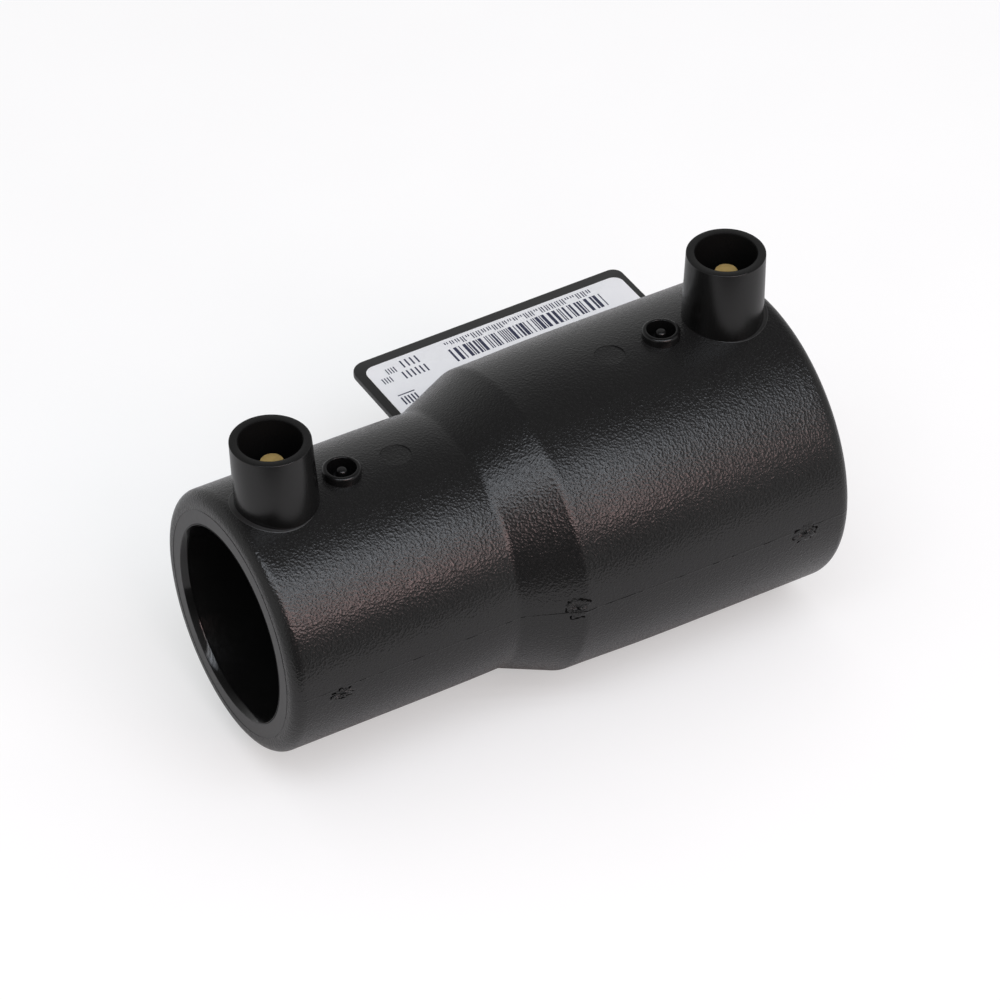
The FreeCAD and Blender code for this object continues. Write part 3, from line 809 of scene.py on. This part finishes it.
# White paper: seen straight it is pure white, and it keeps the fitting's shadow. It is cloudy
# every 33 mm or so.
paper, tree, shader, place = new_finish("white_paper", ior=1.45)
grain = add(tree, "TexNoise", {"Vector": place, "Scale": 30.0, "Detail": 3.0}).outputs["Fac"]
tone = add(tree, "Mix", {"Factor": grain, "A": linear("#CACACA"), "B": linear("#CECECE")},
           data_type="RGBA")
seen = add(tree, "LightPath").outputs["Is Camera Ray"]
glow = add(tree, "Math", {0: seen, 1: 0.4}, operation="MULTIPLY")
shader.inputs["Roughness"].default_value = 0.9
shader.inputs["Emission Color"].default_value = (1.0, 1.0, 1.0, 1.0)
tree.links.new(tone.outputs["Result"], shader.inputs["Base Color"])
tree.links.new(glow.outputs["Value"], shader.inputs["Emission Strength"])
table_mesh.materials.append(paper)

# The studio: white where the camera sees it and an even soft light for matt surfaces. Gloss
# shows its walls, which darken overhead and low in front.
even_light, low_front = 0.62, (-0.3, -0.95, -0.1)
world = bpy.data.worlds.new("studio")
bpy.context.scene.world = world
world.use_nodes = True
tree = world.node_tree
direction = add(tree, "TexCoord").outputs["Generated"]
height = add(tree, "SeparateXYZ", {"Vector": direction}).outputs["Z"]
walls = add(tree, "MapRange", {"Value": height, "From Min": 0.3, "From Max": 0.88,
                               "To Min": 0.46, "To Max": 0.08}).outputs["Result"]
facing = add(tree, "VectorMath", {0: direction, 1: low_front},
             operation="DOT_PRODUCT").outputs["Value"]
dark_end = add(tree, "MapRange", {"Value": facing, "From Min": 0.6, "From Max": 0.95,
                                  "To Min": 1.0, "To Max": 0.1}).outputs["Result"]
mirrored = add(tree, "Math", {0: walls, 1: dark_end}, operation="MULTIPLY").outputs["Value"]
rays = add(tree, "LightPath").outputs
lit = add(tree, "Mix", {"Factor": rays["Is Glossy Ray"], "A": even_light, "B": mirrored},
          data_type="FLOAT").outputs["Result"]
strength = add(tree, "Mix", {"Factor": rays["Is Camera Ray"], "A": lit, "B": 1.0},
               data_type="FLOAT").outputs["Result"]
tree.links.new(strength, tree.nodes["Background"].inputs["Strength"])
tree.nodes["Background"].inputs["Color"].default_value = (1.0, 1.0, 1.0, 1.0)

# The bank's strips, from the top one down: height in the bank, width, left end, radiance and
# colour. They end in line at the right. The lowest is a warm lamp, and shorter.
STRIPS = [
    (-0.36, 0.07, -0.85, 1.4, "#F0F6FF"),
    (-0.24, 0.08, -0.85, 3.8, "#F0F6FF"),
    (-0.11, 0.08, -0.85, 5.0, "#F0F6FF"),
    (0.02, 0.08, -0.8, 4.0, "#F9FAFF"),
    (0.16, 0.09, -0.25, 3.4, "#FFEDEB"),
    (0.315, 0.14, -0.1, 5.3, "#FFD8D5"),
]
bank_lean, bank_twist = math.radians(38), math.radians(25.5)
bank_distance, bank_right = 0.9, 0.44


def lamp(name, offset, size, radiance, colour):
    """A rectangular soft light of the bank, which faces the fitting, leaning forward from
    upright and turned in its own plane. offset moves it in that plane, and its power is pi
    times its area times its radiance."""
    light = bpy.data.lights.new(name, "AREA")
    light.shape = "RECTANGLE"
    light.size, light.size_y = size
    light.energy = radiance * math.pi * size[0] * size[1]
    light.color = linear(colour)[:3]
    holder = bpy.data.objects.new(name, light)
    bpy.context.scene.collection.objects.link(holder)
    out = Vector((0.0, -math.sin(bank_lean), math.cos(bank_lean)))
    down = Vector((0.0, -math.cos(bank_lean), -math.sin(bank_lean)))
    across = math.cos(bank_twist) * Vector((1.0, 0.0, 0.0)) + math.sin(bank_twist) * down
    upper = out.cross(across)
    holder.location = middle + bank_distance * out + offset[0] * across - offset[1] * upper
    holder.rotation_mode = "QUATERNION"
    holder.rotation_quaternion = Matrix((across, upper, out)).transposed().to_quaternion()


for number, (height, width, left_end, radiance, colour) in enumerate(STRIPS):
    right_end = (bank_right + height * math.sin(bank_twist)) / math.cos(bank_twist)
    offset, size = ((left_end + right_end) / 2, height), (right_end - left_end, width)
    lamp(f"strip_{number}", offset, size, radiance, colour)

# The camera stands 30 degrees to the left of the front and 40 degrees up, with a long lens.
camera = bpy.data.cameras.new("camera")
camera.sensor_width = 36.0
camera.lens = 171.18
eye = bpy.data.objects.new("camera", camera)
bpy.context.scene.collection.objects.link(eye)
eye.location = (-0.34879, -0.51103, 0.50017)
back = Vector((-0.38573, -0.66235, 0.64226)).normalized()
roll = math.radians(-0.112)
level_right = Vector((0, 0, 1)).cross(back).normalized()
level_up = back.cross(level_right)
right = math.cos(roll) * level_right + math.sin(roll) * level_up
up = math.cos(roll) * level_up - math.sin(roll) * level_right
eye.rotation_mode = "QUATERNION"
eye.rotation_quaternion = Matrix((right, up, back)).transposed().to_quaternion()
bpy.context.scene.camera = eye
bpy.context.scene.view_settings.view_transform = "Standard"
